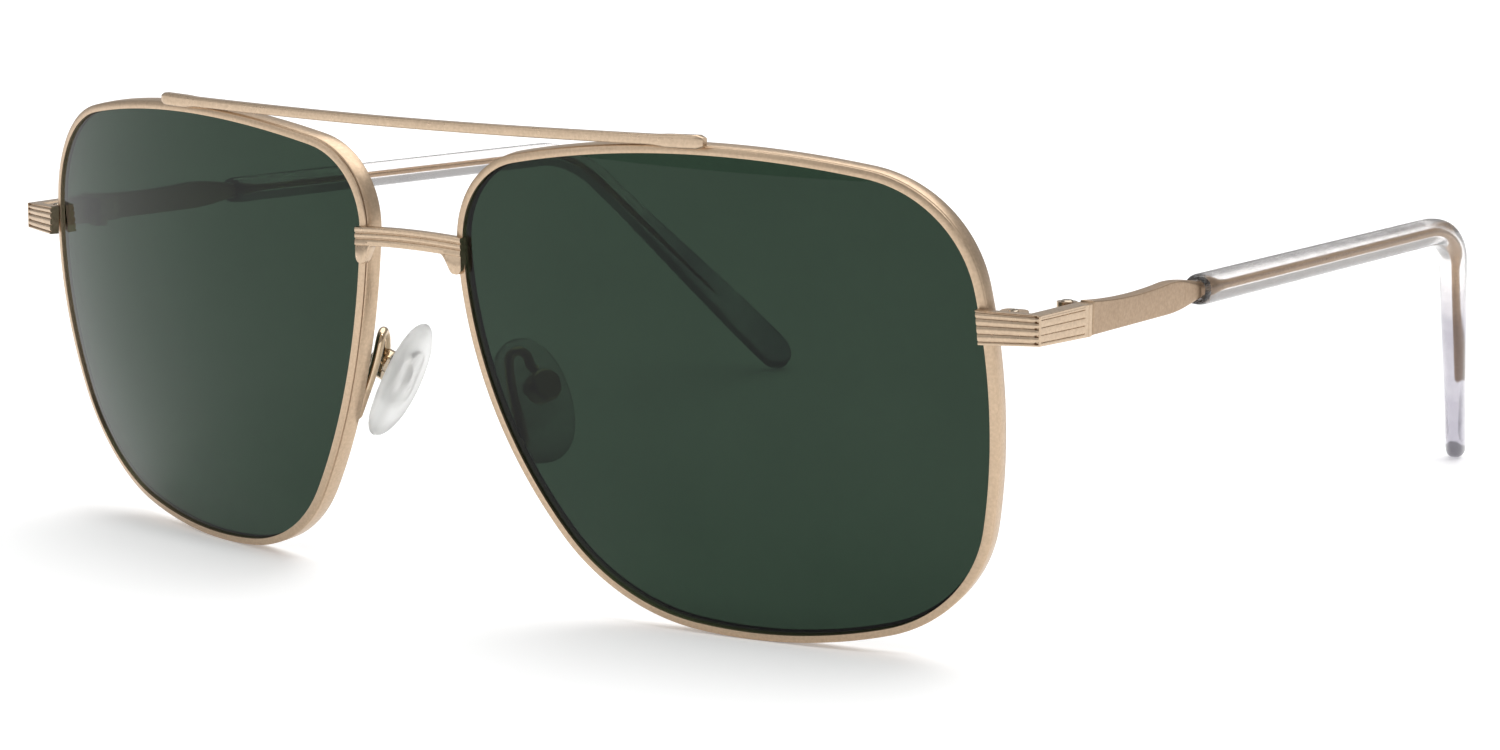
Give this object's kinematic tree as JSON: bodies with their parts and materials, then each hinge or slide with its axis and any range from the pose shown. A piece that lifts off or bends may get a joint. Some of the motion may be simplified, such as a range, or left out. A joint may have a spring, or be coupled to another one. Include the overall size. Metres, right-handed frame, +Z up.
{
  "type": "aviator sunglasses",
  "caption": "Metal aviator sunglasses with a brow bar, ribbed bridge, dark green teardrop lenses, clear temple tips, and adjustable nose pads.",
  "frame": {"origin": "on the surface that the sunglasses stand on, in the mirror plane, level with the middle of the lens plane front to back", "axes": "+X the wearer's left, +Y back along the temples, +Z up; the lenses face -Y"},
  "size_m": [0.1386, 0.1419, 0.0507],
  "materials": {
    "rim_gold": "pale gold plating, satin",
    "trim_gold": "pale gold plating, satin",
    "temple_gold": "pale gold plating, satin",
    "arm_gold": "pale gold plating, polished",
    "hinge_metal": "pale gold plating, satin",
    "screw_steel": "plated steel, polished",
    "lens_green": "dark green tinted, polished",
    "clear_tip": "clear acetate, violet-grey cast, polished",
    "silicone": "translucent silicone, smooth",
    "pad_plastic": "clear hard plastic"
  },
  "bodies": {
    "front": {"brow_bar": "trim_gold", "bridge": "trim_gold", "rim_left": "rim_gold", "rim_right": "rim_gold", "lens_left": "lens_green", "lens_right": "lens_green", "rim_lock_upper_left": "rim_gold", "rim_lock_upper_right": "rim_gold", "rim_lock_lower_left": "rim_gold", "rim_lock_lower_right": "rim_gold", "rim_screw_left": "screw_steel", "rim_screw_right": "screw_steel", "end_piece_left": "trim_gold", "end_piece_right": "trim_gold", "hinge_front_left": "hinge_metal", "hinge_front_right": "hinge_metal", "hinge_screw_left": "screw_steel", "hinge_screw_right": "screw_steel", "pad_arm_left": "arm_gold", "pad_arm_right": "arm_gold", "pad_box_left": "arm_gold", "pad_box_right": "arm_gold", "pad_screw_left": "screw_steel", "pad_screw_right": "screw_steel"},
    "temple_left": {"temple_left": "temple_gold", "hinge_temple_left": "hinge_metal", "temple_tip_left": "clear_tip"},
    "temple_right": {"temple_right": "temple_gold", "hinge_temple_right": "hinge_metal", "temple_tip_right": "clear_tip"},
    "nose_pad_left": {"nose_pad_left": "silicone", "pad_insert_left": "pad_plastic"},
    "nose_pad_right": {"nose_pad_right": "silicone", "pad_insert_right": "pad_plastic"}
  },
  "joints": [
    {"name": "hinge_left", "type": "hinge", "parent": "front", "child": "temple_left", "pos_m": [0.06615, 0.0166, 0.03388], "axis": [0, 0, 1], "range_deg": [0, 84]},
    {"name": "hinge_right", "type": "hinge", "parent": "front", "child": "temple_right", "pos_m": [-0.06615, 0.0166, 0.03388], "axis": [0, 0, -1], "range_deg": [0, 75]},
    {"name": "pad_rock_left", "type": "hinge", "parent": "front", "child": "nose_pad_left", "pos_m": [0.01108, 0.00547, 0.02285], "axis": [-0.3173, -0.9483, 0], "range_deg": [-6, 6]},
    {"name": "pad_rock_right", "type": "hinge", "parent": "front", "child": "nose_pad_right", "pos_m": [-0.01108, 0.00547, 0.02285], "axis": [0.3173, -0.9483, 0], "range_deg": [-6, 6]}
  ]
}
